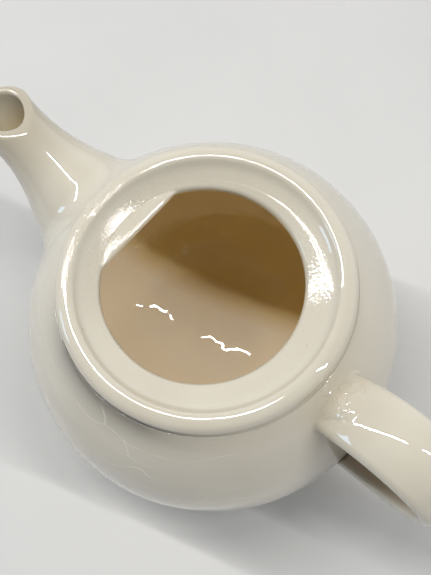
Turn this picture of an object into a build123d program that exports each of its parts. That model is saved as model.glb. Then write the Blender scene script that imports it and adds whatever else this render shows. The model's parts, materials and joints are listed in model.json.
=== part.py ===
from build123d import *
from math import acos, atan2, cos, degrees, radians, sin, sqrt
import os

# Lidless ceramic teapot: a cast globe body with a gallery for a lid, a cast spout and a cast
# strap handle, each stuck on to the body with a thin layer of slip.
# Millimetres, +Z up. The origin is the centre of the foot ring on the table,
# the Z axis is the axis of the globe, and the spout points along +X.

# Globe of the body
belly_radius = 75.0
belly_half_height = 73.7
body_wall = 4.0
floor_thickness = 4.5          # in the middle of the floor
floor_dish = 95.0              # radius of the dished floor, inside
floor_corner = 30.0            # round between the floor and the wall, inside
ceiling_corner = 4.0           # round between the wall and the underside of the ledge

# Foot ring
foot_radius = 38.0
foot_height = 2.5              # of the ring's outer side, from the table to the globe
foot_width = 6.0
foot_recess = 3.5              # how far the base is lifted off the table inside the ring
foot_edge = 0.8                # round of the ring's edges

# Collar and gallery, the seat for a lid
neck_radius = 53.0             # where the collar meets the shoulder of the globe
rim_overhang = 1.2             # of the collar's widest circle past the neck
rim_underside = 0.8            # rise from the neck to that circle
rim_roll_width = 4.7           # from that circle in to the crest
rim_roll_height = 3.7          # and up to the crest
crest_width = 2.3              # from the crest in to the gallery's upright wall
crest_drop = 2.0               # and down to the top of that wall
gallery_wall = 1.5             # height of the upright wall that a lid's flange drops into
gallery_corner = 2.0           # round at the foot of the upright wall
deck_thickness = 4.5           # of the ledge

# Opening in the ledge, with a flat web across its spout side
opening_radius = 37.3
opening_offset = 2.2           # of its centre from the axis, towards the spout
opening_roll = 3.0             # round of its upper edge
web_chord = 31.3               # from the opening's centre to the web's straight edge
web_step = 1.2                 # from the ledge down to the web
web_edge = 1.3                 # round of the web's straight edge

# Spout. Each station on its centreline is the reach past the belly, the rise above the belly,
# half the width and half the depth. The mouth is at the last but one.
spout_stations = [
    (-35.0, 8.0, 38.0, 46.0),
    (-19.0, 16.0, 29.8, 34.0),
    (-5.0, 25.0, 22.6, 25.0),
    (9.0, 34.5, 15.4, 16.4),
    (22.0, 42.6, 11.9, 12.3),
    (33.8, 51.3, 11.4, 11.5),
    (36.4, 59.5, 11.8, 11.8),
]
spout_wall = 2.2
spout_blend = 8.0              # concave round where the spout meets the globe
mouth_tilt = 10.0              # degrees, outwards from level
lip_edge = 0.7                 # round of the mouth's edges

# Strainer: holes pierced through the body wall behind the spout, on a hexagonal grid
strainer_hole_radius = 2.0
strainer_pitch = 6.5
strainer_rings = 2             # of holes around the middle one
strainer_slope = 30.0          # degrees, of the holes above level

# Handle. Each station on its centreline is the reach past the belly, away from the spout,
# the rise above the belly and half the width.
handle_stations = [
    (-29.0, 26.0, 12.2),
    (-15.0, 39.5, 12.3),
    (2.0, 51.2, 12.7),
    (20.0, 52.8, 12.9),
    (33.0, 42.6, 12.4),
    (34.6, 25.0, 11.4),
    (22.0, 7.5, 10.2),
    (1.0, -3.4, 9.4),
    (-15.0, -8.5, 9.4),
]
handle_half_thickness = 5.3
handle_edge = 3.6              # round of the strap's sides
handle_blend = 5.0             # concave round where the handle meets the globe

# Slip between the cast pieces
slip_thickness = 0.4


def globe_rise(radius):
    """Height from the belly up or down to the circle of the globe with this radius."""
    return belly_half_height * sqrt(1 - (radius / belly_radius) ** 2)


# Worked out from the sizes above
belly_height = foot_height + globe_rise(foot_radius)
neck_height = belly_height + globe_rise(neck_radius)
rim_radius = neck_radius + rim_overhang
rim_side_height = neck_height + rim_underside
crest_radius = rim_radius - rim_roll_width
crest_height = rim_side_height + rim_roll_height
gallery_radius = crest_radius - crest_width
gallery_top = crest_height - crest_drop
gallery_foot = gallery_top - gallery_wall
ledge_height = gallery_foot - gallery_corner
deck_underside = ledge_height - deck_thickness
floor_height = foot_recess + floor_thickness


def spin(edges, centre=0.0):
    """Solid turned from an outline of radius and height, about an upright axis at X = centre."""
    outline = Plane.XZ * make_face(edges)
    return Pos(centre, 0, 0) * revolve(outline, Axis.Z)


def globe(growth):
    """The whole globe as one solid, larger than the outside of the body by the growth."""
    arc = EllipticalCenterArc(
        (0, belly_height), belly_radius + growth, belly_half_height + growth, -90, arc_size=180
    )
    return spin([arc, Line(arc @ 1, arc @ 0)])


def body_outside():
    """Outside of the body, filled: foot ring, globe, collar and gallery, up to the ledge."""
    foot_inner_radius = foot_radius - foot_width
    bed_radius = gallery_radius - gallery_corner
    low = -degrees(acos(foot_radius / belly_radius))
    high = degrees(acos(neck_radius / belly_radius))
    foot = Polyline(
        (0, foot_recess), (foot_inner_radius, foot_recess), (foot_inner_radius, 0),
        (foot_radius, 0), (foot_radius, foot_height),
    )
    side = EllipticalCenterArc(
        (0, belly_height), belly_radius, belly_half_height, low, arc_size=high - low
    )
    lip_underside = Line((neck_radius, neck_height), (rim_radius, rim_side_height))
    lip = EllipticalCenterArc(
        (crest_radius, rim_side_height), rim_roll_width, rim_roll_height, 0, arc_size=90
    )
    crest = EllipticalCenterArc(
        (crest_radius, gallery_top), crest_width, crest_drop, 90, arc_size=90
    )
    wall = Line((gallery_radius, gallery_top), (gallery_radius, gallery_foot))
    corner = CenterArc((bed_radius, gallery_foot), gallery_corner, 0, -90)
    ledge = Polyline((bed_radius, ledge_height), (0, ledge_height), (0, foot_recess))
    solid = spin([foot, side, lip_underside, lip, crest, wall, corner, ledge])
    on_table = solid.edges().filter_by(GeomType.CIRCLE).group_by(Axis.Z)[0]
    return fillet(on_table, foot_edge)


def cavity():
    """Inside of the pot, from its dished floor to the underside of the ledge."""
    below_ledge = Rectangle(belly_radius, deck_underside, align=(Align.MIN, Align.MIN))
    wall = Ellipse(belly_radius - body_wall, belly_half_height - body_wall)
    dish = Pos(0, floor_height + floor_dish) * Circle(floor_dish)
    outline = below_ledge & Pos(0, belly_height) * wall & dish
    inside = revolve(Plane.XZ * outline, Axis.Z)
    corners = inside.edges().filter_by(lambda edge: edge.is_closed).sort_by(Axis.Z)
    inside = fillet(corners[0], floor_corner)
    ceiling = inside.faces().filter_by(GeomType.PLANE).sort_by(Axis.Z)[-1]
    return fillet(ceiling.edges(), ceiling_corner)


def opening():
    """Space of the round opening in the ledge, flared at its top, down into the cavity."""
    bottom = deck_underside - deck_thickness
    top = ledge_height + opening_roll
    flare_radius = opening_radius + opening_roll
    roll_foot = ledge_height - opening_roll
    roll = CenterArc((flare_radius, roll_foot), opening_roll, 180, -90)
    sides = Polyline(
        (flare_radius, ledge_height), (flare_radius, top), (0, top), (0, bottom),
        (opening_radius, bottom), (opening_radius, roll_foot),
    )
    return spin([roll, sides], opening_offset)


def web():
    """Flat web that closes the spout side of the opening, with a straight rounded edge."""
    block = Pos(opening_offset + web_chord, 0, deck_underside) * Box(
        opening_radius, 2 * gallery_radius, deck_thickness - web_step,
        align=(Align.MIN, Align.CENTER, Align.MIN),
    )
    straight = block.faces().sort_by(Axis.X)[0].edges().filter_by(Axis.Y)
    return fillet(straight, web_edge)


def spout_height_at_wall():
    """Height of the spout's centreline where it passes through the body wall."""
    inner = [s for s in spout_stations if s[0] <= 0][-1]
    outer = [s for s in spout_stations if s[0] > 0][0]
    share = -inner[0] / (outer[0] - inner[0])
    return belly_height + inner[1] + share * (outer[1] - inner[1])


def strainer():
    """Pins that pierce the body wall behind the spout."""
    slope = radians(strainer_slope)
    aim = Plane(
        origin=(belly_radius, 0, spout_height_at_wall()),
        x_dir=(0, 1, 0),
        z_dir=(cos(slope), 0, sin(slope)),
    )
    pins = []
    for row in range(-strainer_rings, strainer_rings + 1):
        count = 2 * strainer_rings + 1 - abs(row)
        for place in range(count):
            across = (place - (count - 1) / 2) * strainer_pitch
            up = row * strainer_pitch * cos(radians(30))
            pins.append(aim * Pos(across, up, 0) * Cylinder(strainer_hole_radius, belly_radius))
    return pins


def section_planes(stations, direction):
    """Planes across a curved centreline, one at each station, with X across the piece."""
    points = [(direction * (belly_radius + s[0]), 0, belly_height + s[1]) for s in stations]
    path = Spline(points)
    return [
        Plane(origin=point, x_dir=(0, 1, 0), z_dir=path % path.param_at_point(point))
        for point in points
    ]


def spout_form(inset):
    """Spout from inside the globe to past its mouth, smaller all round by the inset."""
    planes = section_planes(spout_stations, 1)
    return loft([
        plane * Ellipse(station[2] - inset, station[3] - inset)
        for plane, station in zip(planes, spout_stations)
    ])


def above_mouth():
    """Everything above the plane that the mouth is cut on."""
    reach, rise = spout_stations[-2][:2]
    size = 2 * belly_radius
    return Pos(belly_radius + reach, 0, belly_height + rise) * Rot(0, mouth_tilt, 0) * Box(
        size, size, size, align=(Align.CENTER, Align.CENTER, Align.MIN)
    )


def strap_outline(half_width):
    """Outline of the strap: two shallow crowns joined by the rounds of its sides."""
    edge_centre = half_width - handle_edge
    crown_radius = (
        (edge_centre ** 2 + handle_half_thickness ** 2 - handle_edge ** 2)
        / (2 * (handle_half_thickness - handle_edge))
    )
    drop = crown_radius - handle_half_thickness
    turn = degrees(atan2(drop, edge_centre))
    return make_face([
        CenterArc((edge_centre, 0), handle_edge, -turn, 2 * turn),
        CenterArc((0, -drop), crown_radius, turn, 180 - 2 * turn),
        CenterArc((-edge_centre, 0), handle_edge, 180 - turn, 2 * turn),
        CenterArc((0, drop), crown_radius, 180 + turn, 180 - 2 * turn),
    ])


def handle_form():
    """Whole strap, from inside the globe near the collar and back to inside it at the belly."""
    planes = section_planes(handle_stations, -1)
    return loft([
        plane * strap_outline(station[2]) for plane, station in zip(planes, handle_stations)
    ])


def stuck_on(form, blend_radius):
    """A form rounded into a globe that lies one slip's thickness inside the body's surface.

    The round runs out on that inner globe, so that it crosses the slip at an angle
    and leaves no edge without thickness.
    """
    core = globe(-slip_thickness)
    whole = core + form
    return fillet(new_edges(core, form, combined=whole), blend_radius)


def cast_piece_and_slip(block, body_trim):
    """What of a block lies outside the body: the cast piece, and the slip under its root."""
    slip_outside = globe(slip_thickness)
    piece = block - slip_outside - body_trim
    slip = (block & (slip_outside - globe(0))) - body_trim
    return piece, slip


def rounded_mouth(spout):
    """The spout with the edges of its mouth rounded."""
    mouth_face = spout.faces().filter_by(GeomType.PLANE).sort_by(Axis.Z)[-1]
    return fillet(mouth_face.edges(), lip_edge)


def make_pieces():
    """Every piece of the teapot by name."""
    outside = body_outside()
    body_trim = outside - globe(0)     # the collar and the foot ring
    spout_block = stuck_on(spout_form(0) - above_mouth(), spout_blend) - spout_form(spout_wall)
    spout, spout_slip = cast_piece_and_slip(spout_block, body_trim)
    handle, handle_slip = cast_piece_and_slip(stuck_on(handle_form(), handle_blend), body_trim)
    bottom_slip, top_slip = handle_slip.solids().sort_by(Axis.Z)
    return {
        "body": outside - cavity() - (opening() - web()) - strainer(),
        "spout": rounded_mouth(spout),
        "spout_slip": spout_slip,
        "handle": handle,
        "handle_top_slip": top_slip,
        "handle_bottom_slip": bottom_slip,
    }


os.makedirs("parts", exist_ok=True)
for name, piece in make_pieces().items():
    export_step(piece, f"parts/{name}.step")
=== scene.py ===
import json
import math
import bmesh
import bpy
import numpy as np
from mathutils import Matrix, Vector

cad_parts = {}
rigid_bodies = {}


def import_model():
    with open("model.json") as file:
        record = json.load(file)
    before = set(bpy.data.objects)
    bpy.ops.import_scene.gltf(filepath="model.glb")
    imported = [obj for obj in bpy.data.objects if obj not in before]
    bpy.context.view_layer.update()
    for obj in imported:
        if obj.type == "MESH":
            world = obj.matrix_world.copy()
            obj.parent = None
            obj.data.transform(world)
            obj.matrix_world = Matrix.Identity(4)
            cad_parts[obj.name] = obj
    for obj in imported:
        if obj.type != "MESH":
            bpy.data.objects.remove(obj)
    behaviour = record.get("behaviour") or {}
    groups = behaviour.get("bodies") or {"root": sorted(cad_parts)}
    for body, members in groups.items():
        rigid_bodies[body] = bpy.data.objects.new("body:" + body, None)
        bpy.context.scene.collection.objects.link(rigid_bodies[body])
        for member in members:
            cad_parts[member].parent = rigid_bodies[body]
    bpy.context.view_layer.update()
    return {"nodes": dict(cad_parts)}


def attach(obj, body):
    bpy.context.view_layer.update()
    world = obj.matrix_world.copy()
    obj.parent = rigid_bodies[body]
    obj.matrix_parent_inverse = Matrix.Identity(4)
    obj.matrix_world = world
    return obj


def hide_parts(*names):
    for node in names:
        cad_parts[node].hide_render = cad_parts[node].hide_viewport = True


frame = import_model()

mm = 0.001
scene = bpy.context.scene
scene.view_settings.view_transform = "Standard"
print("frame loaded:", sorted(frame["nodes"]))

# all shapes are worked out in millimetres and turned into metres when the mesh is made
globe = dict(
    radius=75.0, halfHeight=73.7, middle=66.04,      # the globe that the whole pot is built on
    wobble=0.11, wobbleWave=34.0,                    # uneven wall, and how long its waves are
    wobbleFrom=2.5, wobbleFull=14.0,                 # the foot stays true, and the wobble grows above it
)


def globeSize(points, sink=0.0):      # 1 on the globe, less inside it
    flat = (points[..., 0] ** 2 + points[..., 1] ** 2) / (globe["radius"] - sink) ** 2
    up = (points[..., 2] - globe["middle"]) ** 2 / (globe["halfHeight"] - sink) ** 2
    return np.sqrt(flat + up)


def ontoGlobe(points, sink=0.0):
    middle = np.array([0, 0, globe["middle"]])
    return middle + (points - middle) / globeSize(points, sink)[..., None]


def globeNormal(points):
    out = points - np.array([0, 0, globe["middle"]])
    out = out / np.array([globe["radius"], globe["radius"], globe["halfHeight"]]) ** 2
    return out / np.linalg.norm(out, axis=-1, keepdims=True)


def globeHeight(radius, side=1):      # height of the skin at this distance from the axis
    return globe["middle"] + side * globe["halfHeight"] * math.sqrt(1 - (radius / globe["radius"]) ** 2)


def globeRadius(height, sink):        # and its distance from the axis at this height
    share = (height - globe["middle"]) / (globe["halfHeight"] - sink)
    return (globe["radius"] - sink) * math.sqrt(1 - share ** 2)


def easeIn(x, low, high):
    t = np.clip((x - low) / (high - low), 0, 1)
    return t * t * (3 - 2 * t)


def throughPoints(knots, values):     # a smooth line through the stations, as a function of distance
    knots, values = np.asarray(knots, float), np.asarray(values, float)
    gaps = np.diff(knots)
    count = len(knots)
    system, right = np.eye(count), np.zeros_like(values)
    for i in range(1, count - 1):
        system[i, i - 1:i + 2] = gaps[i - 1], 2 * (gaps[i - 1] + gaps[i]), gaps[i]
        right[i] = 6 * ((values[i + 1] - values[i]) / gaps[i] - (values[i] - values[i - 1]) / gaps[i - 1])
    bends = np.linalg.solve(system, right)

    def at(s):
        i = np.clip(np.searchsorted(knots, s, side="right") - 1, 0, count - 2)
        a, b = ((knots[i + 1] - s) / gaps[i])[..., None], ((s - knots[i]) / gaps[i])[..., None]
        sag = ((a ** 3 - a) * bends[i] + (b ** 3 - b) * bends[i + 1]) * gaps[i][..., None] ** 2 / 6
        return a * values[i] + b * values[i + 1] + sag
    return at


def alongLine(places):                # distance from the first place to each of them
    return np.concatenate([[0], np.cumsum(np.linalg.norm(np.diff(places, axis=0), axis=1))])


def softCorner(start, corner, end, count, skipFirst=True):
    t = np.linspace(0, 1, count)[:, None]
    a, b, c = (np.array(p, float) for p in (start, corner, end))
    points = (1 - t) ** 2 * a + 2 * t * (1 - t) * b + t ** 2 * c
    return [tuple(p) for p in points[1 if skipFirst else 0:]]


def ellipsePart(cx, cz, rx, rz, fromDegrees, toDegrees, count):      # without its first point
    turns = np.radians(np.linspace(fromDegrees, toDegrees, count))[1:]
    return [(cx + rx * math.cos(t), cz + rz * math.sin(t)) for t in turns]


def ringRow(turns, radius, height, shift=0.0):
    across, along = shift + radius * np.cos(turns), radius * np.sin(turns)
    return np.stack([across, along, np.zeros_like(turns) + height], 1)


def unevenWall(points):               # the same unevenness runs through every piece, so roots stay seated
    wave = 2 * math.pi / globe["wobbleWave"]
    x, y, z = (points[..., i] * wave for i in range(3))
    # two crossed waves, bent so that they never quite repeat
    lumps = (np.sin(x + 1.3 * np.sin(0.6 * y + 0.4)) * np.cos(0.8 * y - 0.5 * z)
             + np.sin(0.7 * z + 0.9 * x - 0.6 * y + 2.1))
    depth = globe["wobble"] * (1 + lumps / 2)
    depth = depth * easeIn(points[..., 2], globe["wobbleFrom"], globe["wobbleFull"])
    out = points - np.array([0, 0, globe["middle"]])
    return points - out / np.linalg.norm(out, axis=-1, keepdims=True) * depth[..., None]


def meshFromRows(name, rows, marks, closedRing=False, caps=False):      # marks are read by the glaze
    rows = np.asarray(rows, float)
    rowCount, count = rows.shape[:2]
    points = unevenWall(rows.reshape(-1, 3))
    markValues = {}
    for key, value in marks.items():
        value = np.asarray(value, float).reshape(rowCount, -1)
        markValues[key] = np.broadcast_to(value, (rowCount, count)).reshape(-1)
    faces = []
    for i in range(rowCount if closedRing else rowCount - 1):
        a, b = i * count, ((i + 1) % rowCount) * count
        for j in range(count):
            k = (j + 1) % count
            faces.append((a + j, a + k, b + k, b + j))
    for base in (0, (rowCount - 1) * count) if caps else ():
        pole = len(points)
        points = np.vstack([points, points[base:base + count].mean(0)])
        markValues = {key: np.append(v, v[base]) for key, v in markValues.items()}
        faces += [(base + j, base + (j + 1) % count, pole) for j in range(count)]
    mesh = bpy.data.meshes.new(name)
    mesh.from_pydata([tuple(p) for p in points * mm], [], faces)
    for key, values in markValues.items():
        layer = mesh.attributes.new(key, "FLOAT", "POINT")
        layer.data.foreach_set("value", values.astype(np.float32))
    shell = bmesh.new()
    shell.from_mesh(mesh)
    bmesh.ops.recalc_face_normals(shell, faces=shell.faces)
    if shell.calc_volume(signed=True) < 0:
        bmesh.ops.reverse_faces(shell, faces=shell.faces)
    shell.to_mesh(mesh)
    shell.free()
    mesh.shade_smooth()
    piece = bpy.data.objects.new(name, mesh)
    scene.collection.objects.link(piece)
    return piece


print("helpers ready")

potBody = dict(
    columns=252,
    footRadius=38.0, footHeight=2.5, footWidth=6.0, footRecess=3.5, footEdge=0.8, footFillet=1.6,
    footUpright=0.5, recessRound=1.4, filletDrop=0.9, bareBelow=0.3,
    baseRings=(5, 11, 17, 23, 28), footRings=(0.25, 0.4, 0.6, 0.75), globeRings=76,
    # the tight crease under the collar: three distances where it bends, then how its foot turns back out
    creaseMouth=55.2, creaseBends=(54.75, 54.6, 54.3), creaseFoot=53.2, creaseDepth=0.5, creaseLift=0.02,
    creaseBack=(0.05, 0.14), creaseOut=(0.25, 0.02), hemHeight=117.2, hemProud=0.12, hemRound=0.75,
    collarRadius=54.2, collarHeight=118.986, crestRadius=49.5, crestHeight=122.686, faceRings=26,
    # how far the collar's face is out from the crest, and how far it has fallen there
    collarFace=[(0.0, 0.0), (0.4, 0.018), (0.8, 0.08), (1.4, 0.24), (2.2, 0.53),
                (3.0, 0.95), (3.65, 1.45), (4.2, 2.15), (4.55, 2.92), (4.7, 3.7)],
    ledgeHeight=117.186, deckUnderside=112.686,
    seatRings=81, seatShares=[0, 0.10, 0.16, 0.22, 0.3, 0.4, 0.5, 0.6, 0.8, 1.0],      # crest to opening
    seatTilts=[0, 14, 36, 51, 48, 38, 30, 26, 26, 28],                   # how steeply the seat falls there
    seatSoften=[0.1, 0.2, 0.4, 0.2, 0.1], meetTilt=28.0,
    # a shallow valley runs part of the way round the seat: where it lies, how wide it is and how level
    valleyTurns=[-180, -158, -149, -143, -138, -133, -126, -112, -98, -84, -72, -60, -50, 180],
    valleyTilts=[26, 27, 28, 27, 24, 19, 11, 7, 6, 6, 9.5, 15, 26, 26],
    valleyPlaces=[0.55, 0.55, 0.55, 0.57, 0.60, 0.63, 0.65, 0.69, 0.75, 0.81, 0.86, 0.88, 0.88, 0.7],
    valleyWidths=[0.1, 0.1, 0.06, 0.05, 0.05, 0.05, 0.05, 0.045, 0.03, 0.02, 0.01, 0.01, 0.01, 0.1],
    valleyEdge=0.045,
    # the glaze is wiped rougher on the seat, by more or less round it, and on the crest over the spout
    workedFrom=0.3, workedFull=0.6,
    raggedTurns=[-180, -150, -120, -95, -80, -45, -25, 0, 30, 60, 90, 180],
    raggedShares=[0.7, 1.3, 1.3, 0.8, 0.3, 0.3, 1.0, 1.9, 1.9, 0.5, 0.4, 0.7],
    roughTurns=[-25, -5, 38, 58], roughness=2.2, roughReach=(1.2, 3.2), roughAbove=120.0,
    openingRadius=37.3, openingOffset=2.2, offsetFrom=0.2, openingRoll=3.0, openingEdge=0.6,
    # the flat web across the opening: its edge from the opening's middle, and the degrees where it runs out
    webChord=31.3, webStep=1.2, webEdge=1.9, webLean=0.06, webEnd=(29.5, 33.5),
    webBlend=1.7, webBend=0.6, webLevel=0.4, webFlat=1.9, webTurn=6.0,
    webSag=0.0055, webSagFrom=8.0, webSagMost=20.0,      # it sags towards one end
    liftRows=(2, 10), sagRows=(3, 8), insideFrom=0.55, workedUntil=0.5,      # rows down the opening
    wall=4.0, floorHeight=8.0, floorCorner=30.0, floorDish=95.0, dishEnd=-88.8,
    ceilingCorner=4.0, ceilingIn=1.25, ceilingDown=1.15,
)


def bodyOutline(b):                   # distance and height, from under the foot up to the crest
    footOut, recess, edge = b["footRadius"], b["footRecess"], b["footEdge"]
    footIn, inset = footOut - b["footWidth"], footOut - b["footWidth"] - b["recessRound"]
    points = [(r, recess) for r in (*b["baseRings"], inset)]
    points += softCorner((inset, recess), (footIn, recess), (footIn, recess - b["recessRound"]), 6)
    points += [(footIn, edge + b["footUpright"])]
    points += softCorner((footIn, edge), (footIn, 0), (footIn + edge, 0), 5, False)
    points += [(footIn + t * b["footWidth"], 0) for t in b["footRings"]]
    points += softCorner((footOut - edge, 0), (footOut, 0), (footOut, edge), 5, False)
    out = footOut + b["footFillet"]
    points += softCorner((footOut, b["footHeight"] - b["filletDrop"]), (footOut, b["footHeight"]),
                         (out, globeHeight(out, -1)), 7, False)
    low, high = -math.acos(out / globe["radius"]), math.acos(b["creaseMouth"] / globe["radius"])
    for t in np.linspace(low, high, b["globeRings"])[1:]:
        points.append((globe["radius"] * math.cos(t), globe["middle"] + globe["halfHeight"] * math.sin(t)))
    mouth, bend, run = b["creaseBends"]
    deep = (b["creaseFoot"], globeHeight(b["creaseFoot"]) + b["creaseLift"])
    back = (deep[0] - b["creaseBack"][0], deep[1] + b["creaseBack"][1])
    depth = b["creaseDepth"]
    points += softCorner(points[-1], (mouth, globeHeight(mouth)), (bend, globeHeight(bend) - depth), 5)
    points += softCorner(points[-1], (run, globeHeight(run) - depth), deep, 6)
    points += softCorner(deep, back, (deep[0] + b["creaseOut"][0], deep[1] + b["creaseOut"][1]), 4)
    points += softCorner(points[-1], (b["collarRadius"] + b["hemProud"], b["hemHeight"]),
                         (b["collarRadius"], b["hemHeight"] + b["hemRound"]), 9)
    points.append((b["collarRadius"], b["collarHeight"]))
    crest = (b["crestRadius"], b["crestHeight"])
    face = np.array([(crest[0] + side, crest[1] - fall) for side, fall in b["collarFace"][::-1]])
    knots = alongLine(face)
    smooth = throughPoints(knots, face)(np.linspace(0, knots[-1], b["faceRings"]))
    return points + [tuple(p) for p in smooth[1:]]


def seatRows(b, turns, degrees):      # from the crest in, moving over to the opening's own centre
    meetRadius = b["openingRadius"] + b["openingRoll"] * (1 - math.sin(math.radians(b["meetTilt"])))
    valleyTilt, valleyPlace, valleyWidth = (
        np.interp(degrees, b["valleyTurns"], b["valley" + part]) for part in ("Tilts", "Places", "Widths"))
    shares = np.linspace(0, 1, b["seatRings"])
    tilts = np.interp(shares, b["seatShares"], b["seatTilts"])
    tilts = np.convolve(np.pad(tilts, 2, mode="edge"), b["seatSoften"], "valid")
    tilts[0] = 0
    fall, rows, worked = np.zeros_like(turns), [], []
    for i in range(1, len(shares)):
        t = shares[i]
        tilt = (tilts[i] + tilts[i - 1]) / 2
        away = np.abs(t - valleyPlace) - valleyWidth
        tilt = valleyTilt + (tilt - valleyTilt) * easeIn(away, -b["valleyEdge"], b["valleyEdge"])
        steep, across = np.tan(np.radians(tilt)), b["crestRadius"] - meetRadius
        fall = fall + steep * (shares[i] - shares[i - 1]) * across
        radius = b["crestRadius"] + t * (meetRadius - b["crestRadius"])
        shift = easeIn(t, b["offsetFrom"], 1) * b["openingOffset"]
        rows.append(ringRow(turns, radius, b["crestHeight"] - fall, shift))
        worked.append(float(easeIn(t, b["workedFrom"], b["workedFull"])))
    return rows, worked


def webPath(b, rolled, edge, count):  # down the roll, across the web and round its straight edge
    start, under, top = rolled[-1], b["deckUnderside"], b["ledgeHeight"] - b["webStep"]
    lipStart = min(edge + b["webEdge"], start[0] - b["webFlat"])
    blendEnd = (start[0] - b["webBlend"], top + b["webLean"] * (b["webBlend"] - b["webLevel"]))
    blend = softCorner(start, (start[0] - b["webBend"], top), blendEnd, 7)
    shares = np.linspace(0, 1, 6)[1:]
    reach = [start[0] - b["webBlend"] + t * (lipStart - start[0] + b["webBlend"]) for t in shares]
    flat = [(r, top + b["webLean"] * (start[0] - b["webLevel"] - r)) for r in reach]
    lipTop = flat[-1][1]
    lip = softCorner((lipStart, lipTop), (edge, lipTop), (edge, lipTop - b["webEdge"]), 5)
    foot = softCorner((edge, under + b["webEdge"]), (edge, under), (edge + b["webEdge"], under), 5, False)
    path = np.array(rolled + blend + flat + lip + foot)
    wanted, given = np.linspace(0, 1, count), np.linspace(0, 1, len(path))
    return np.stack([np.interp(wanted, given, path[:, i]) for i in (0, 1)], 1)


def openingRows(b, turns, tops):      # a roll and an upright edge, or the web where it runs across
    radius, under, top, edge = b["openingRadius"], b["deckUnderside"], b["ledgeHeight"], b["openingEdge"]
    rollFoot, webTop = top - b["openingRoll"], top - b["webStep"]
    roll = (radius + b["openingRoll"], rollFoot, b["openingRoll"], top - rollFoot, 90 + b["meetTilt"])
    plain = ellipsePart(*roll, 180, 12)
    plain += [(radius, z) for z in np.linspace(rollFoot, under + edge, 10)[1:]]
    plain += softCorner((radius, under + edge), (radius, under), (radius + edge, under), 4)
    plain = np.array(plain)
    count = len(plain)
    away = (turns + math.pi) % (2 * math.pi) - math.pi
    webbed = easeIn(-np.abs(np.degrees(away)), -b["webEnd"][1], -b["webEnd"][0])
    rollTurn = math.degrees(math.acos(min(1, (webTop - rollFoot) / (top - rollFoot))))
    rolled = ellipsePart(*roll, 90 + rollTurn - b["webTurn"], 5)
    chord = b["webChord"] / np.cos(np.clip(away, -1.0, 1.0))
    across = np.repeat(plain[:, None], len(turns), axis=1)
    for j in np.nonzero(webbed > 0)[0]:
        path = webPath(b, rolled, min(chord[j], radius), count)
        across[:, j] = plain * (1 - webbed[j]) + path * webbed[j]
    lift = (tops - rollFoot) / ((top - rollFoot) * math.cos(math.radians(b["meetTilt"])))
    rows, inside, worked = [], [], []
    for i in range(count):
        r, z = across[i, :, 0], across[i, :, 1]
        share = lift + webbed * (1 - lift) * easeIn(i, *b["liftRows"])      # the roll meets the seat
        z = np.where(z > rollFoot, rollFoot + (z - rollFoot) * share, z)
        sag = b["webSag"] * np.clip(r * np.sin(turns) - b["webSagFrom"], 0, b["webSagMost"]) ** 2
        z = z - webbed * sag * np.clip((z - under) / (webTop - under), 0, 1) * easeIn(i, *b["sagRows"])
        rows.append(ringRow(turns, r, z, b["openingOffset"]))
        inside.append(easeIn(i, count * b["insideFrom"], count - 1))
        worked.append(1.0 - easeIn(i, count * b["workedUntil"], count - 1))
    return rows, inside, worked


def floorRound(b):      # the round at the floor: a ball that touches both the wall and the dish
    dishMiddle = b["floorHeight"] + b["floorDish"]
    wide, tall = globe["radius"] - b["wall"], globe["halfHeight"] - b["wall"]

    def ballAt(t):
        px, pz = wide * math.cos(t), globe["middle"] + tall * math.sin(t)
        nx, nz = math.cos(t) / wide, math.sin(t) / tall
        size = math.hypot(nx, nz)
        leave = math.degrees(math.atan2(nz, nx))
        return px - b["floorCorner"] * nx / size, pz - b["floorCorner"] * nz / size, leave

    near, far = -1.4, -0.1            # turns on the wall, halved until they meet
    for _ in range(40):
        t = (near + far) / 2
        cx, cz, leave = ballAt(t)
        outside = math.hypot(cx, cz - dishMiddle) > b["floorDish"] - b["floorCorner"]
        near, far = (t, far) if outside else (near, t)
    return t, cx, cz, leave


def cavityProfile(b, target, ceiling):      # down the wall from under the ledge and over the floor
    inner, under = b["wall"], b["deckUnderside"]
    low = under - b["ceilingDown"] * b["ceilingCorner"]
    profile = softCorner((target, under), (ceiling, under), (globeRadius(low, inner), low), 8)
    t, cx, cz, leave = floorRound(b)
    high = math.asin((low - globe["middle"]) / (globe["halfHeight"] - inner))
    for turn in np.linspace(high, t, 64)[1:]:
        profile.append(((globe["radius"] - inner) * math.cos(turn),
                        globe["middle"] + (globe["halfHeight"] - inner) * math.sin(turn)))
    dishMiddle = b["floorHeight"] + b["floorDish"]
    land = math.degrees(math.atan2(cz - dishMiddle, cx))
    profile += ellipsePart(cx, cz, b["floorCorner"], b["floorCorner"], leave, land, 12)
    return profile + ellipsePart(0, dishMiddle, b["floorDish"], b["floorDish"], land, b["dishEnd"], 40)


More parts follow.
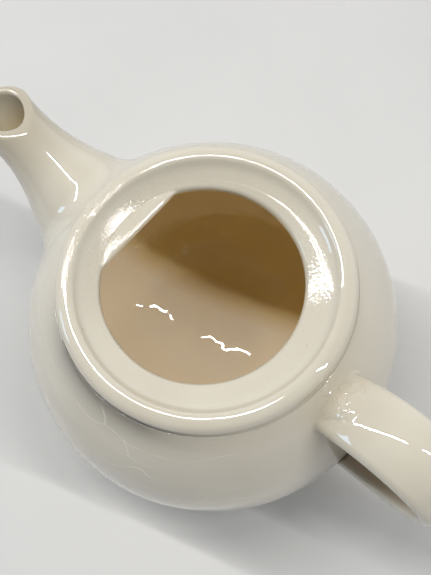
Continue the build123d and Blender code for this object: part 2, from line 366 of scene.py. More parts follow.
def bodyRows(b):
    turns = np.linspace(0, 2 * math.pi, b["columns"], endpoint=False)
    degrees = (np.degrees(turns) + 180) % 360 - 180
    rows = [ringRow(turns, r, z) for r, z in bodyOutline(b)]
    worked = [0.0] * len(rows)
    seat, seatWorked = seatRows(b, turns, degrees)
    opening, openingInside, openingWorked = openingRows(b, turns, seat[-1][:, 2])
    inside = [0.0] * (len(rows) + len(seat)) + openingInside
    rows += seat + opening
    worked += seatWorked + openingWorked
    # under the ledge, back to the pot's own axis
    ceiling = globeRadius(b["deckUnderside"], b["wall"])
    target = ceiling - b["ceilingIn"] * b["ceilingCorner"]
    last, goal = rows[-1], ringRow(turns, target, b["deckUnderside"])
    rows += [last + t * (goal - last) for t in np.linspace(0, 1, 6)[1:]]
    rows += [ringRow(turns, r, z) for r, z in cavityProfile(b, target, ceiling)]
    inside += [1.0] * (len(rows) - len(inside))
    worked += [0.0] * (len(rows) - len(worked))
    grid = np.array(rows)
    fromCrest = np.abs(np.hypot(grid[..., 0], grid[..., 1]) - b["crestRadius"])
    starts, full, fades, ends = b["roughTurns"]
    around = easeIn(degrees, starts, full) * (1 - easeIn(degrees, fades, ends))
    rough = b["roughness"] * around * (1 - easeIn(fromCrest, *b["roughReach"]))
    rough = rough * (grid[..., 2] > b["roughAbove"])
    ragged = np.interp(degrees, b["raggedTurns"], b["raggedShares"])
    return rows, inside, np.maximum(np.array(worked)[:, None] * ragged, rough)


rows, inside, worked = bodyRows(potBody)
bodyPiece = meshFromRows("PotBody", rows, dict(inside=inside, worked=worked), caps=True)
print("pot body:", len(bodyPiece.data.polygons), "faces")

strainer = dict(
    holeRadius=2.0, pitch=6.5, rings=2, slope=30.0, height=94.43, reach=75.0,      # holes behind the spout
    sides=20, length=30.0, sharpFrom=52.0,
)


def pierceStrainer(piece, s):
    drill = bmesh.new()
    slope = math.radians(s["slope"])
    outward = Vector((math.cos(slope), 0, math.sin(slope)))
    upward = Vector((-math.sin(slope), 0, math.cos(slope)))
    for row in range(-s["rings"], s["rings"] + 1):
        count = 2 * s["rings"] + 1 - abs(row)
        for place in range(count):
            across = (place - (count - 1) / 2) * s["pitch"]
            middle = Vector((s["reach"], across, s["height"]))
            middle = middle + upward * row * s["pitch"] * math.cos(math.radians(30))
            ends = []
            for end in (-0.5, 0.5):
                ring = []
                for k in range(s["sides"]):
                    turn = 2 * math.pi * k / s["sides"]
                    side = Vector((0, 1, 0)) * math.cos(turn) + upward * math.sin(turn)
                    spot = middle + outward * end * s["length"] + side * s["holeRadius"]
                    ring.append(drill.verts.new(spot * mm))
                ends.append(ring)
            for k in range(s["sides"]):
                n = (k + 1) % s["sides"]
                drill.faces.new((ends[0][k], ends[0][n], ends[1][n], ends[1][k]))
            drill.faces.new(ends[0][::-1])
            drill.faces.new(ends[1])
    bmesh.ops.recalc_face_normals(drill, faces=drill.faces)
    pinMesh = bpy.data.meshes.new("strainerPins")
    drill.to_mesh(pinMesh)
    drill.free()
    layer = pinMesh.attributes.new("inside", "FLOAT", "POINT")
    layer.data.foreach_set("value", [1.0] * len(pinMesh.vertices))
    pins = bpy.data.objects.new("strainerPins", pinMesh)
    scene.collection.objects.link(pins)
    cut = piece.modifiers.new("strainer", "BOOLEAN")
    cut.object, cut.operation, cut.solver = pins, "DIFFERENCE", "EXACT"
    bpy.context.view_layer.update()
    pierced = bpy.data.meshes.new_from_object(piece.evaluated_get(bpy.context.evaluated_depsgraph_get()))
    piece.modifiers.clear()
    piece.data = pierced
    bpy.data.objects.remove(pins)
    pierced.set_sharp_from_angle(angle=math.radians(s["sharpFrom"]))


pierceStrainer(bodyPiece, strainer)
print("strainer pierced:", len(bodyPiece.data.polygons), "faces")

rootShape = dict(
    sink=0.45, lip=0.25,              # how deep the edge of a root is sunk, and how far past its landing
    nearAhead=0.2, farAhead=19.0,     # how far ahead the tube's direction is read, at the globe and past it
    leastLift=0.05, mostLift=0.9999,  # sine of the angle between tube and globe
    steepFrom=0.35, stepIn=0.85,
)


def centreLine(stations, side):       # stations: reach past the belly, rise above it, then half sizes
    places = np.array([(side * (globe["radius"] + s[0]), globe["middle"] + s[1]) for s in stations])
    knots = alongLine(places)
    return knots, throughPoints(knots, places), throughPoints(knots, np.array([s[2:] for s in stations]))


def alongTube(line, sizes, outline, s, step=0.05):      # s has a row for each ring, a column for each strand
    here = line(s)
    ahead = line(s + step) - line(s - step)
    ahead = ahead / np.linalg.norm(ahead, axis=-1, keepdims=True)
    across, up = outline(sizes(s))
    return np.stack([here[..., 0] - ahead[..., 1] * up, across, here[..., 1] + ahead[..., 0] * up], -1)


def crossingOf(tube, columns, low, high, test, tries=900):      # the last place where the test turns positive
    s = np.linspace(low, high, tries)
    grid = np.repeat(s[:, None], columns, axis=1)
    values = test(tube(grid))
    found = np.zeros(columns)
    for j in range(columns):
        i = np.nonzero((values[:-1, j] < 0) & (values[1:, j] >= 0))[0][-1]
        a, b = values[i, j], values[i + 1, j]
        found[j] = s[i] + (s[i + 1] - s[i]) * (-a) / (b - a)
    return found


def unit(vectors):
    return vectors / np.linalg.norm(vectors, axis=-1, keepdims=True)


def flare(tube, crossing, sign, radius, count, collar=0.0, stretch=None):
    # rows that leave the globe and run out on the tube; sign is the way out along the tube
    r = rootShape
    at = tube(crossing[None])[0]
    ahead = unit(tube((crossing + sign * r["nearAhead"])[None])[0] - at)
    normal = globeNormal(at)
    lift = np.clip((ahead * normal).sum(-1), r["leastLift"], r["mostLift"])
    turn = np.arcsin(lift)
    reach = radius * np.tan(turn / 2)
    back = -(ahead - lift[:, None] * normal)
    size = np.linalg.norm(back, axis=-1, keepdims=True)
    outward = at - at.mean(0)                        # used where the tube stands upright on the globe
    outward = unit(outward - (outward * normal).sum(-1, keepdims=True) * normal)
    weight = np.clip(size / r["steepFrom"], 0, 1)
    away = unit(weight * back / np.maximum(size, 1e-6) + (1 - weight) * outward)
    landReach, leaveReach = reach.copy(), reach * (1 if stretch is None else stretch(at))
    for _ in range(20):                              # the root stops short of the collar
        landed = ontoGlobe(at + away * landReach[:, None])
        tooFar = np.hypot(landed[:, 0], landed[:, 1]) < collar
        landReach = np.where(tooFar, landReach * r["stepIn"], landReach)
    landNormal = globeNormal(landed)
    slide = unit(away - (away * landNormal).sum(-1, keepdims=True) * landNormal)
    leave = crossing + sign * leaveReach
    off = tube(leave[None])[0]
    offAhead = unit(tube((leave + sign * r["farAhead"])[None])[0] - off)
    hold = 4 / 3 * np.tan(turn / 4) / np.tan(turn / 2)
    landHold, leaveHold = (hold * landReach)[:, None], (hold * leaveReach)[:, None]
    rows = []
    for t in np.linspace(0, 1, count):
        rows.append((1 - t) ** 3 * landed + 3 * t * (1 - t) ** 2 * (landed - slide * landHold)
                    + 3 * t ** 2 * (1 - t) * (off - offAhead * leaveHold) + t ** 3 * off)
    sunk = ontoGlobe(landed + slide * r["lip"], r["sink"])
    return [sunk] + rows, leave


pouringSpout = dict(
    columns=120,
    stations=[(-35, 8, 38, 46), (-19, 16, 29.8, 34), (-5, 25, 22.6, 25), (9, 34.5, 15.4, 16.4),
              (22, 42.6, 11.9, 12.3), (33.8, 51.3, 11.4, 11.5), (36.4, 59.5, 11.8, 11.8)],
    wall=2.2, rootRound=12.5, mouthTilt=10.0, lipRound=1.4,
    # the wall thickens into a rolled lip
    lipOut=[0, 0, 0, 0, 0.3, 1.1, 1.3], lipIn=[0, 0, 0, 0, 0.1, 0.7, 0.8],
    rootRings=14, skinRings=46, lipRings=7, boreRings=40, backRings=(0.25, 0.5, 0.75), insideBy=0.45,
)


def makeSpout(p):
    stations = [(reach, rise, wide + out, deep, wide - p["wall"] - thick, deep - p["wall"] - thick)
                for (reach, rise, wide, deep), out, thick in zip(p["stations"], p["lipOut"], p["lipIn"])]
    knots, line, sizes = centreLine(stations, 1)
    turns = np.linspace(0, 2 * math.pi, p["columns"], endpoint=False)
    outer = lambda z: (z[..., 0] * np.cos(turns), z[..., 1] * np.sin(turns))
    inner = lambda z: (z[..., 2] * np.cos(turns), z[..., 3] * np.sin(turns))
    skin = lambda s: alongTube(line, sizes, outer, s)
    bore = lambda s: alongTube(line, sizes, inner, s)
    tilt = math.radians(p["mouthTilt"])
    mouth = np.array([globe["radius"] + p["stations"][-2][0], 0, globe["middle"] + p["stations"][-2][1]])
    mouthNormal = np.array([math.sin(tilt), 0, math.cos(tilt)])
    overMouth = lambda points: (points - mouth) @ mouthNormal
    begin, end = 0.1, knots[-1] - 0.1
    root = crossingOf(skin, p["columns"], begin, end, lambda q: globeSize(q) - 1)
    rows, leave = flare(skin, root, 1, p["rootRound"], p["rootRings"])
    top = crossingOf(skin, p["columns"], knots[2], end, overMouth)
    for t in np.linspace(0, 1, p["skinRings"])[1:]:
        rows.append(skin((leave + t * (top - p["lipRound"] - leave))[None])[0])
    innerTop = crossingOf(bore, p["columns"], knots[2], end, overMouth)
    skinEdge, boreEdge = skin(top[None])[0], bore(innerTop[None])[0]
    below, boreBelow = rows[-1], bore((innerTop - p["lipRound"])[None])[0]
    ridge = (skinEdge + boreEdge) / 2
    for first, corner, last in ((below, skinEdge, ridge), (ridge, boreEdge, boreBelow)):
        for t in np.linspace(0, 1, p["lipRings"])[1:]:
            rows.append((1 - t) ** 2 * first + 2 * t * (1 - t) * corner + t ** 2 * last)
    inside = [0.0] * len(rows)
    boreRoot = crossingOf(bore, p["columns"], begin, end, lambda q: globeSize(q, rootShape["sink"]) - 1)
    for t in np.linspace(0, 1, p["boreRings"])[1:]:
        rows.append(bore((innerTop - p["lipRound"] + t * (boreRoot - innerTop + p["lipRound"]))[None])[0])
        inside.append(float(easeIn(t, 0.0, p["insideBy"])))
    last = rows[-1]
    rows += [ontoGlobe(last * (1 - t) + rows[0] * t, rootShape["sink"]) for t in p["backRings"]]
    inside += [1.0] * (len(rows) - len(inside))
    marks = dict(inside=inside, worked=[0.0] * len(rows))
    return meshFromRows("PouringSpout", rows, marks, closedRing=True)


spoutPiece = makeSpout(pouringSpout)
print("spout:", len(spoutPiece.data.polygons), "faces")

strapHandle = dict(
    columns=96,
    stations=[(-29, 26, 12.2), (-15, 39.5, 12.3), (2, 51.2, 12.7), (20, 52.8, 12.9), (33, 42.6, 12.4),
              (34.6, 25, 11.4), (22, 7.5, 10.2), (1, -3.4, 9.4), (-15, -8.5, 9.4)],
    halfThickness=5.3, edgeRound=3.6, lean=0.09,
    rootRound=1.9, rootCollar=55.7, rootStretch=6.0, stretchWidth=(4.0, 11.5),
    topRings=16, strapRings=120, lowRings=12,
    thinMiddle=0.32, thinReach=0.19, thinFade=0.05,      # painted shade: the strap's inner face is coloured tan-brown
)


def strapSection(h):                  # two shallow crowns joined by the rounds of the sides
    share = np.linspace(0, 1, h["columns"], endpoint=False)

    def outline(sizes):
        half, thick, rounded = sizes[..., 0], h["halfThickness"], h["edgeRound"]
        edge = half - rounded
        crown = (edge ** 2 + thick ** 2 - rounded ** 2) / (2 * (thick - rounded))
        drop = crown - thick
        turn = np.arctan2(drop, edge)
        roundLength, crownLength = 2 * turn * rounded, (math.pi - 2 * turn) * crown
        whole = 2 * (roundLength + crownLength)
        at = (share * whole) % whole
        across, up = np.zeros_like(at), np.zeros_like(at)
        legs = ((edge, 0.0, rounded, -turn, roundLength),
                (0.0, -drop, crown, turn, crownLength),
                (-edge, 0.0, rounded, math.pi - turn, roundLength),
                (0.0, drop, crown, math.pi + turn, crownLength))
        begin = np.zeros_like(half)
        for cx, cz, radius, start, length in legs:
            here = (at >= begin) & (at < begin + length)
            angle = start + (at - begin) / radius
            across = np.where(here, cx + radius * np.cos(angle), across)
            up = np.where(here, cz + radius * np.sin(angle), up)
            begin = begin + length
        return across, up + h["lean"] * across
    return outline


def makeHandle(h):
    knots, line, sizes = centreLine(h["stations"], -1)
    strand = lambda s: alongTube(line, sizes, strapSection(h), s)
    backward = lambda s: strand(knots[-1] - s)
    outside = lambda q: globeSize(q) - 1
    middle, begin = knots[len(knots) // 2], 0.1
    topRoot = crossingOf(strand, h["columns"], begin, middle, outside)
    lowRoot = knots[-1] - crossingOf(backward, h["columns"], begin, knots[-1] - middle, outside)
    # the top root runs out long on the upper side of the strap
    stretch = lambda q: 1 + h["rootStretch"] * easeIn(q[:, 2], q[:, 2].mean(), q[:, 2].max()) * (
        1 - easeIn(np.abs(q[:, 1]), *h["stretchWidth"]))
    topRows, topLeave = flare(strand, topRoot, 1, h["rootRound"], h["topRings"], h["rootCollar"], stretch)
    lowRows, lowLeave = flare(strand, lowRoot, -1, h["rootRound"], h["lowRings"])
    rows = list(topRows)
    for t in np.linspace(0, 1, h["strapRings"])[1:-1]:
        rows.append(strand((topLeave + t * (lowLeave - topLeave))[None])[0])
    rows += lowRows[::-1]
    blank = [0.0] * len(rows)
    share = np.linspace(0, 1, h["columns"], endpoint=False)
    # where the painted shade lies across the strap's inner face
    thin = 1 - easeIn(np.abs(share - h["thinMiddle"]), h["thinReach"] - h["thinFade"], h["thinReach"])
    marks = dict(inside=blank, worked=blank, thin=np.array([thin] * len(rows)))
    return meshFromRows("StrapHandle", rows, marks, caps=True), topRows[1], lowRows[1]


handlePiece, topRing, lowRing = makeHandle(strapHandle)
print("handle:", len(handlePiece.data.polygons), "faces")

slipLayer = dict(      # a thin layer of slip holds each end of the handle
    thickness=0.35, sink=0.05, rings=(0.35, 0.7), setBack=0.96, bevel=0.97,
)


def makeSlip(name, ring, s):
    middle = ring.mean(0)
    shares = (*s["rings"], s["setBack"])
    under = [ontoGlobe(middle + (ring - middle) * share, s["sink"]) for share in shares]
    over = [ontoGlobe(row, -s["thickness"]) for row in under[::-1]]
    over[0] = ontoGlobe(middle + (over[0] - middle) * s["bevel"], -s["thickness"])
    rows = under + over
    blank = [0.0] * len(rows)
    return meshFromRows(name, rows, dict(inside=blank, worked=blank), caps=True)


topSlip = makeSlip("TopSlip", topRing, slipLayer)
lowSlip = makeSlip("LowSlip", lowRing, slipLayer)
print("slip on both ends of the handle")


def feed(tree, socket, value):        # a socket is linked, anything else is set
    if isinstance(value, bpy.types.NodeSocket):
        tree.links.new(value, socket)
    else:
        socket.default_value = value


def addNode(tree, kind, inputs=None, **settings):
    made = tree.nodes.new(kind)
    for key, value in settings.items():
        setattr(made, key, value)
    for key, value in (inputs or {}).items():
        feed(tree, made.inputs[key], value)
    return made


def addRamp(tree, value, low, high, start=0.0, end=1.0):
    return addNode(tree, "ShaderNodeMapRange", {
        "Value": value, "From Min": low, "From Max": high, "To Min": start, "To Max": end}).outputs[0]


def mixColour(tree, share, first, second):
    made = addNode(tree, "ShaderNodeMix", data_type="RGBA", blend_type="MIX")
    for place, value in ((0, share), (6, first), (7, second)):
        feed(tree, made.inputs[place], (*value, 1) if isinstance(value, tuple) else value)
    return made.outputs[2]


def freshMaterial(name):
    material = bpy.data.materials.new(name)
    material.use_nodes = True
    tree = material.node_tree
    tree.nodes.clear()
    output = tree.nodes.new("ShaderNodeOutputMaterial")
    shader = tree.nodes.new("ShaderNodeBsdfPrincipled")
    tree.links.new(shader.outputs["BSDF"], output.inputs["Surface"])
    return material, tree, shader


# lengths are in metres and turns in radians; a pair is where a fade begins and ends
creamGlaze = dict(
    # the third colour here is painted shade for the strap's inner face
    outside=(0.597, 0.56, 0.467), pooled=(0.535, 0.483, 0.383), thin=(0.47, 0.375, 0.27),
    # inside colours: a tan standing in for light bounced round the cavity, and a deep brown painted as shadow
    # on one side
    within=(0.93, 0.81, 0.615), shadowSideBrown=(0.76, 0.56, 0.20), craze=(0.82, 0.78, 0.70),
    speck=(0.25, 0.19, 0.12), spoutShadeTone=(0.44, 0.395, 0.305), creaseShadeTone=(0.21, 0.197, 0.17),
    bodyRoughness=0.5, roughnessDrift=0.06, roughnessSize=0.012, roughnessFade=(0.3, 0.7), specular=0.2,
    coatWeight=1.0, coatRoughness=0.022, coatIndex=1.85,
    driftShare=0.45, driftSize=0.035, driftFade=(0.45, 0.75),
    mottleShare=0.10, mottleSize=0.0016, mottleFade=(0.5, 0.72),
    grainShare=0.5, grainSize=0.0007, grainFade=(0.52, 0.66),
    # how strongly the spout is darkened as painted shade, and where it fades in
    spoutShadeShare=0.9, spoutShadeFade=(0.074, 0.094),
    poolShare=0.8, poolPlace=0.066, poolLength=60.0, poolWidth=48.0, poolCore=0.1, poolRise=(0.090, 0.104),
    speckShare=0.55, speckCell=0.0052, speckSize=0.065, speckRare=0.72,
    # the crease colour and its reach are painted shade under the collar
    creaseShadeShare=0.95, creaseShadeRise=(0.1035, 0.116), creaseShadeReach=(0.0525, 0.0532), creaseShadeTop=0.1177,
    creaseShadeFrom=(0.6, 1.2), creaseShadeTo=(2.6, 1.9),
    crazeShare=0.55, crazeTurn=0.75, crazeRise=85.0, crazeSlice=0.3, crazeWarp=38.0, crazeScale=1.25,
    crazeLine=(0.004, 0.017), crazeSide=(0.012, 0.045), crazeFrom=(0.070, 0.086), crazeTo=(0.1175, 0.112),
    crazeBreak=(0.40, 0.56), crazeBreakSize=0.02,
    # where the painted shadow inside begins
    shadowSideSlope=0.33, shadowSideEdge=(-0.036, -0.022),
    rippleHeight=0.0001, rippleSize=0.011, peelHeight=0.000006, peelSize=0.0022,
    wipedHeight=0.00009, wipedSize=0.0011, lumpHeight=0.00034, lumpSize=0.0092,
    pitDepth=-0.00004, pitCell=0.0031, pitSize=0.11, pitRare=0.86, crazeHeight=0.00001,
    scarHeight=0.00011, scarSize=0.006, scarWarp=0.011, scarLine=0.09, scarRise=(0.100, 0.106),
    scarPlace=(0.0625, 0.001), scarLength=120.0, scarWidth=75.0, scarCore=0.25,
)


def makeGlaze(g):
    material, tree, shader = freshMaterial("creamGlaze")
    node = lambda kind, inputs=None, **settings: addNode(tree, kind, inputs, **settings)
    maths = lambda operation, a, b=0.0: node("ShaderNodeMath", {0: a, 1: b}, operation=operation).outputs[0]
    times = lambda a, b: maths("MULTIPLY", a, b)
    plus = lambda a, b: maths("ADD", a, b)
    square = lambda value: times(value, value)
    ramp = lambda value, low, high, start=0.0, end=1.0: addRamp(tree, value, low, high, start, end)
    mix = lambda share, first, second: mixColour(tree, share, first, second)
    mark = lambda name: node("ShaderNodeAttribute", attribute_name=name).outputs["Fac"]
    noise = lambda size, detail=2.0, rough=0.5: node("ShaderNodeTexNoise", {
        "Vector": place, "Scale": 1 / size, "Detail": detail, "Roughness": rough}).outputs["Fac"]
    oval = lambda a, b, core: ramp(plus(square(a), square(b)), core, 1.0, 1.0, 0.0)      # 1 at its core
    voronoi = lambda where, scale, feature: node(
        "ShaderNodeTexVoronoi", {"Vector": where, "Scale": scale}, feature=feature).outputs
    bender = lambda scale, detail: node("ShaderNodeTexNoise", {
        "Vector": place, "Scale": scale, "Detail": detail}).outputs["Color"]
    vectors = lambda operation, a, b: node(
        "ShaderNodeVectorMath", {0: a, 1: b}, operation=operation).outputs[0]
    place = node("ShaderNodeTexCoord").outputs["Object"]
    insideMark, workedMark = mark("inside"), mark("worked")
    apart = node("ShaderNodeSeparateXYZ", {0: place})
    x, y, z = (apart.outputs[i] for i in range(3))
    azimuth, fromAxis = maths("ARCTAN2", y, x), maths("SQRT", plus(square(x), square(y)))

    def dots(cell, channel, rare, size):      # round spots of a few sizes, in some of the cells
        cells = voronoi(place, 1 / cell, "F1")
        chance = node("ShaderNodeSeparateColor", {0: cells["Color"]}).outputs[channel]
        return maths("LESS_THAN", cells["Distance"], times(ramp(chance, rare, 1.0), size))

    # slow drifts where the glaze lies thicker, and a fine grain where it was wiped
    drift = ramp(noise(g["driftSize"], 3.0), *g["driftFade"], 0.0, g["driftShare"])
    colour = mix(drift, g["outside"], g["pooled"])
    mottle = ramp(noise(g["mottleSize"], 4.0, 0.7), *g["mottleFade"], 0.0, g["mottleShare"])
    colour = mix(mottle, colour, g["pooled"])
    grain = times(ramp(noise(g["grainSize"]), *g["grainFade"], 0.0, g["grainShare"]), workedMark)
    colour = mix(grain, colour, g["pooled"])
    # painted shade darkens the spout, the glaze pooled round the handle's upper root, and painted shade turns
    # the strap's inner face tan-brown
    colour = mix(ramp(x, *g["spoutShadeFade"], 0.0, g["spoutShadeShare"]), colour, g["spoutShadeTone"])
    pool = oval(times(plus(x, g["poolPlace"]), g["poolLength"]), times(y, g["poolWidth"]), g["poolCore"])
    colour = mix(times(pool, ramp(z, *g["poolRise"], 0.0, g["poolShare"])), colour, g["pooled"])
    colour = mix(mark("thin"), colour, g["thin"])
    # iron specks, most of them faint
    speck = dots(g["speckCell"], 0, g["speckRare"], g["speckSize"])
    colour = mix(times(speck, g["speckShare"]), colour, g["speck"])
    # painted shade: darker in the crease under the collar, on the side of the pot where the collar's shadow
    # falls
    paintedCreaseShade = times(ramp(z, *g["creaseShadeRise"]), ramp(fromAxis, *g["creaseShadeReach"]))
    paintedCreaseShade = times(paintedCreaseShade, maths("LESS_THAN", z, g["creaseShadeTop"]))
    paintedCreaseShade = times(paintedCreaseShade, times(ramp(azimuth, *g["creaseShadeFrom"]), ramp(azimuth, *g["creaseShadeTo"])))
    colour = mix(times(square(paintedCreaseShade), g["creaseShadeShare"]), colour, g["creaseShadeTone"])
    # crazing: long fine broken lines round the shoulder on the same side
    strip = node("ShaderNodeCombineXYZ", {
        0: times(azimuth, g["crazeTurn"]), 1: times(z, g["crazeRise"]), 2: g["crazeSlice"]}).outputs[0]
    warped = vectors("ADD", strip, bender(g["crazeWarp"], 1.0))
    lines = voronoi(warped, g["crazeScale"], "DISTANCE_TO_EDGE")["Distance"]
    crack = times(ramp(lines, *g["crazeLine"], 1.0, 0.0), ramp(y, *g["crazeSide"]))
    upOn = times(ramp(z, *g["crazeFrom"]), ramp(z, *g["crazeTo"]))
    crack = times(crack, times(upOn, ramp(noise(g["crazeBreakSize"]), *g["crazeBreak"])))
    crack = times(crack, maths("SUBTRACT", 1.0, insideMark))
    colour = mix(times(crack, g["crazeShare"]), colour, g["craze"])
    # inside: a warmer, lighter tan stands in for light bounced round the cavity, and one side is painted deep
    # brown as shadow
    paintedShadowSide = ramp(maths("SUBTRACT", y, times(x, g["shadowSideSlope"])), *g["shadowSideEdge"], 1.0, 0.0)
    colour = mix(insideMark, colour, mix(paintedShadowSide, g["within"], g["shadowSideBrown"]))
    tree.links.new(colour, shader.inputs["Base Color"])
    # relief: slow ripples, and lumps inside
    lumps = times(times(noise(g["lumpSize"], 1.0), insideMark), g["lumpHeight"])
    height = plus(times(noise(g["rippleSize"], 1.5), g["rippleHeight"]), lumps)
    # hard little ridges where the slip was smoothed over the root of the handle
    nearRoot = oval(times(plus(x, g["scarPlace"][0]), g["scarLength"]),
                    times(plus(y, g["scarPlace"][1]), g["scarWidth"]), g["scarCore"])
    bend = vectors("MULTIPLY", bender(1 / g["scarSize"], 3.0), (g["scarWarp"],) * 3)
    scars = voronoi(vectors("ADD", place, bend), 1 / g["scarSize"], "DISTANCE_TO_EDGE")["Distance"]
    scars = times(ramp(scars, 0.0, g["scarLine"], 1.0, 0.0), nearRoot)
    height = plus(height, times(scars, times(ramp(z, *g["scarRise"]), g["scarHeight"])))
    # orange peel, the wiped seat, pinholes and the edges of the crazing
    height = plus(height, times(noise(g["peelSize"]), g["peelHeight"]))
    height = plus(height, times(times(noise(g["wipedSize"], 1.5, 0.6), workedMark), g["wipedHeight"]))
    height = plus(height, times(dots(g["pitCell"], 1, g["pitRare"], g["pitSize"]), g["pitDepth"]))
    height = plus(height, times(crack, g["crazeHeight"]))
    bump = node("ShaderNodeBump", {"Height": height, "Strength": 1.0, "Distance": 1.0}).outputs["Normal"]
    tree.links.new(bump, shader.inputs["Normal"])
    tree.links.new(bump, shader.inputs["Coat Normal"])
    smooth, dull = g["bodyRoughness"] - g["roughnessDrift"], g["bodyRoughness"] + g["roughnessDrift"]
    roughness = ramp(noise(g["roughnessSize"], 3.0), *g["roughnessFade"], smooth, dull)
    tree.links.new(roughness, shader.inputs["Roughness"])
    shader.inputs["Specular IOR Level"].default_value = g["specular"]
    shader.inputs["Coat Weight"].default_value = g["coatWeight"]
    shader.inputs["Coat Roughness"].default_value = g["coatRoughness"]
    shader.inputs["Coat IOR"].default_value = g["coatIndex"]
    return material


bareClay = dict(
    clay=(0.70, 0.61, 0.47), worn=(0.48, 0.39, 0.28), grain=(0.84, 0.77, 0.64), roughness=0.85,
    grainScale=1400.0, grainFade=(0.55, 0.75), grainShare=0.4, grainDepth=0.0002,
    smearScale=110.0, smearFade=(0.45, 0.75), smearShare=0.7,
)


def makeClay(c):
    material, tree, shader = freshMaterial("bareClay")
    place = addNode(tree, "ShaderNodeTexCoord").outputs["Object"]
    cloud = lambda scale, detail: addNode(tree, "ShaderNodeTexNoise", {
        "Vector": place, "Scale": scale, "Detail": detail}).outputs["Fac"]
    grain = cloud(c["grainScale"], 4.0)
    dirt = addRamp(tree, cloud(c["smearScale"], 3.0), *c["smearFade"], 0.0, c["smearShare"])
    colour = mixColour(tree, dirt, c["clay"], c["worn"])
    sand = addRamp(tree, grain, *c["grainFade"], 0.0, c["grainShare"])
    tree.links.new(mixColour(tree, sand, colour, c["grain"]), shader.inputs["Base Color"])
    bump = addNode(tree, "ShaderNodeBump", {"Height": grain, "Strength": 0.5, "Distance": c["grainDepth"]})
    tree.links.new(bump.outputs["Normal"], shader.inputs["Normal"])
    shader.inputs["Roughness"].default_value = c["roughness"]
    return material


glazeMaterial = makeGlaze(creamGlaze)
clayMaterial = makeClay(bareClay)
for piece, node in ((bodyPiece, "body"), (spoutPiece, "spout"), (handlePiece, "handle"),
                    (topSlip, "handle_top_slip"), (lowSlip, "handle_bottom_slip")):
    piece.data.materials.clear()
    piece.data.materials.append(glazeMaterial)
    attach(piece, "root")
    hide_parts(node)
bodyPiece.data.materials.append(clayMaterial)
for face in bodyPiece.data.polygons:              # bare clay only where the foot stands
    face.material_index = 1 if face.center.z < potBody["bareBelow"] * mm else 0
for place in frame["nodes"]["spout_slip"].material_slots:
    place.material = glazeMaterial
print("glaze and clay on")

studio = dict(
    floorSize=6.0, floorColour=(0.60, 0.60, 0.593), floorCloud=9.0, cloudFade=(0.35, 0.7), cloudShade=0.96,
    floorRoughness=0.7,
    skyColour=(0.95, 0.97, 1.0), seenSky=0.92,
    brightSide=(0.25, -0.86, 0.45), skyLow=0.09, skyHigh=0.80,      # the room is brighter on this side
    overheadFrom=0.35, overheadTo=0.85, overhead=0.12,              # and dark overhead
    # a long thin strip in two lengths, with a dull stretch between them
    stripAlong=(0.949, 0.316, 0), stripWidth=0.035, stripColour=(1.0, 0.985, 0.96),
    keySpot=(0.69, 0.1135, 1.46), keyLength=1.918, keyPower=21.3,
    gapSpot=(-0.41, -0.253, 1.46), gapLength=0.40, gapPower=3.6,
    farSpot=(-1.0, -0.449, 1.46), farLength=0.843, farPower=8.4,
    windowSpot=(1.1, 0.95, 0.62), windowAlong=(-0.66, 0.75, 0), windowSize=(0.36, 0.36), windowPower=1.5,
    windowColour=(0.46, 0.70, 1.0),
)


def addLamp(name, spot, along, size, power, colour, aim=(0, 0, 0.08)):
    lamp = bpy.data.lights.new(name, "AREA")
    lamp.shape, lamp.energy, lamp.color = "RECTANGLE", power, colour
    lamp.size, lamp.size_y = size
    holder = bpy.data.objects.new(name, lamp)
    back = (Vector(spot) - Vector(aim)).normalized()
    wide = (Vector(along) - back * back.dot(Vector(along))).normalized()
    holder.matrix_world = Matrix((wide, back.cross(wide), back)).transposed().to_4x4()
    holder.location = spot
    scene.collection.objects.link(holder)
    return holder


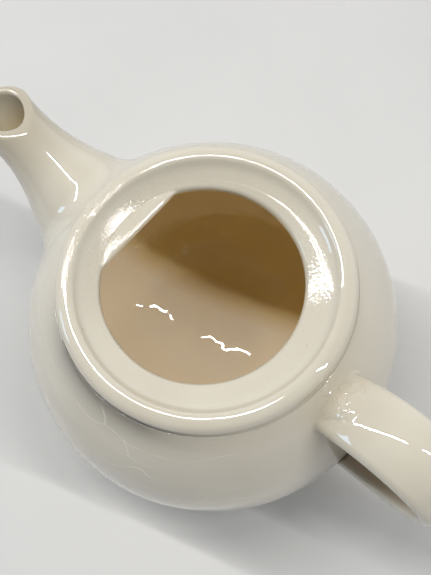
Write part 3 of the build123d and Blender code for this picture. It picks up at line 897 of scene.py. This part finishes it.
def makeFloor(s):
    mesh = bpy.data.meshes.new("floor")
    half = s["floorSize"] / 2
    corners = [(-half, -half, 0), (half, -half, 0), (half, half, 0), (-half, half, 0)]
    mesh.from_pydata(corners, [], [(0, 1, 2, 3)])
    floor = bpy.data.objects.new("floor", mesh)
    scene.collection.objects.link(floor)
    material, tree, shader = freshMaterial("paleFloor")
    place = addNode(tree, "ShaderNodeTexCoord").outputs["Object"]
    cloud = addNode(tree, "ShaderNodeTexNoise", {"Vector": place, "Scale": s["floorCloud"], "Detail": 3.0})
    share = addRamp(tree, cloud.outputs["Fac"], *s["cloudFade"])
    shade = tuple(s["cloudShade"] * c for c in s["floorColour"])
    tree.links.new(mixColour(tree, share, s["floorColour"], shade), shader.inputs["Base Color"])
    shader.inputs["Roughness"].default_value = s["floorRoughness"]
    mesh.materials.append(material)


def makeSky(s):
    sky = bpy.data.worlds.new("sky")
    scene.world = sky
    sky.use_nodes = True
    tree = sky.node_tree
    back = tree.nodes["Background"]
    back.inputs["Color"].default_value = (*s["skyColour"], 1)
    direction = addNode(tree, "ShaderNodeTexCoord").outputs["Generated"]
    facing = addNode(tree, "ShaderNodeVectorMath", {0: direction, 1: s["brightSide"]},
                     operation="DOT_PRODUCT").outputs["Value"]
    level = addRamp(tree, facing, -1.0, 1.0, s["skyLow"], s["skyHigh"])
    rise = addNode(tree, "ShaderNodeSeparateXYZ", {0: direction}).outputs[2]
    dim = addRamp(tree, rise, s["overheadFrom"], s["overheadTo"], 1.0, s["overhead"])
    level = addNode(tree, "ShaderNodeMath", {0: level, 1: dim}, operation="MULTIPLY").outputs[0]
    seen = addNode(tree, "ShaderNodeLightPath").outputs["Is Camera Ray"]
    strength = addNode(tree, "ShaderNodeMix", {0: seen, 2: level, 3: s["seenSky"]}).outputs[0]
    tree.links.new(strength, back.inputs["Strength"])


def lightStudio(s):
    for part in ("key", "gap", "far"):
        size = (s[part + "Length"], s["stripWidth"])
        strip = addLamp(part + "Lamp", s[part + "Spot"], s["stripAlong"], size,
                        s[part + "Power"], s["stripColour"])
        strip.visible_glossy = part != "gap"             # the dull stretch gives light but no glint
    addLamp("windowLamp", *(s["window" + part] for part in ("Spot", "Along", "Size", "Power", "Colour")))


makeFloor(studio)
makeSky(studio)
lightStudio(studio)
print("studio lit")

viewpoint = dict(spot=(-0.0802, 0.0644, 0.4101), turn=(18.87, 2.56, -137.95), lens=54.34, sensor=36.0)
camera = bpy.data.cameras.new("camera")
camera.lens, camera.sensor_width = viewpoint["lens"], viewpoint["sensor"]
cameraHolder = bpy.data.objects.new("camera", camera)
cameraHolder.location = viewpoint["spot"]
cameraHolder.rotation_euler = [math.radians(a) for a in viewpoint["turn"]]
scene.collection.objects.link(cameraHolder)
scene.camera = cameraHolder
print("camera placed")
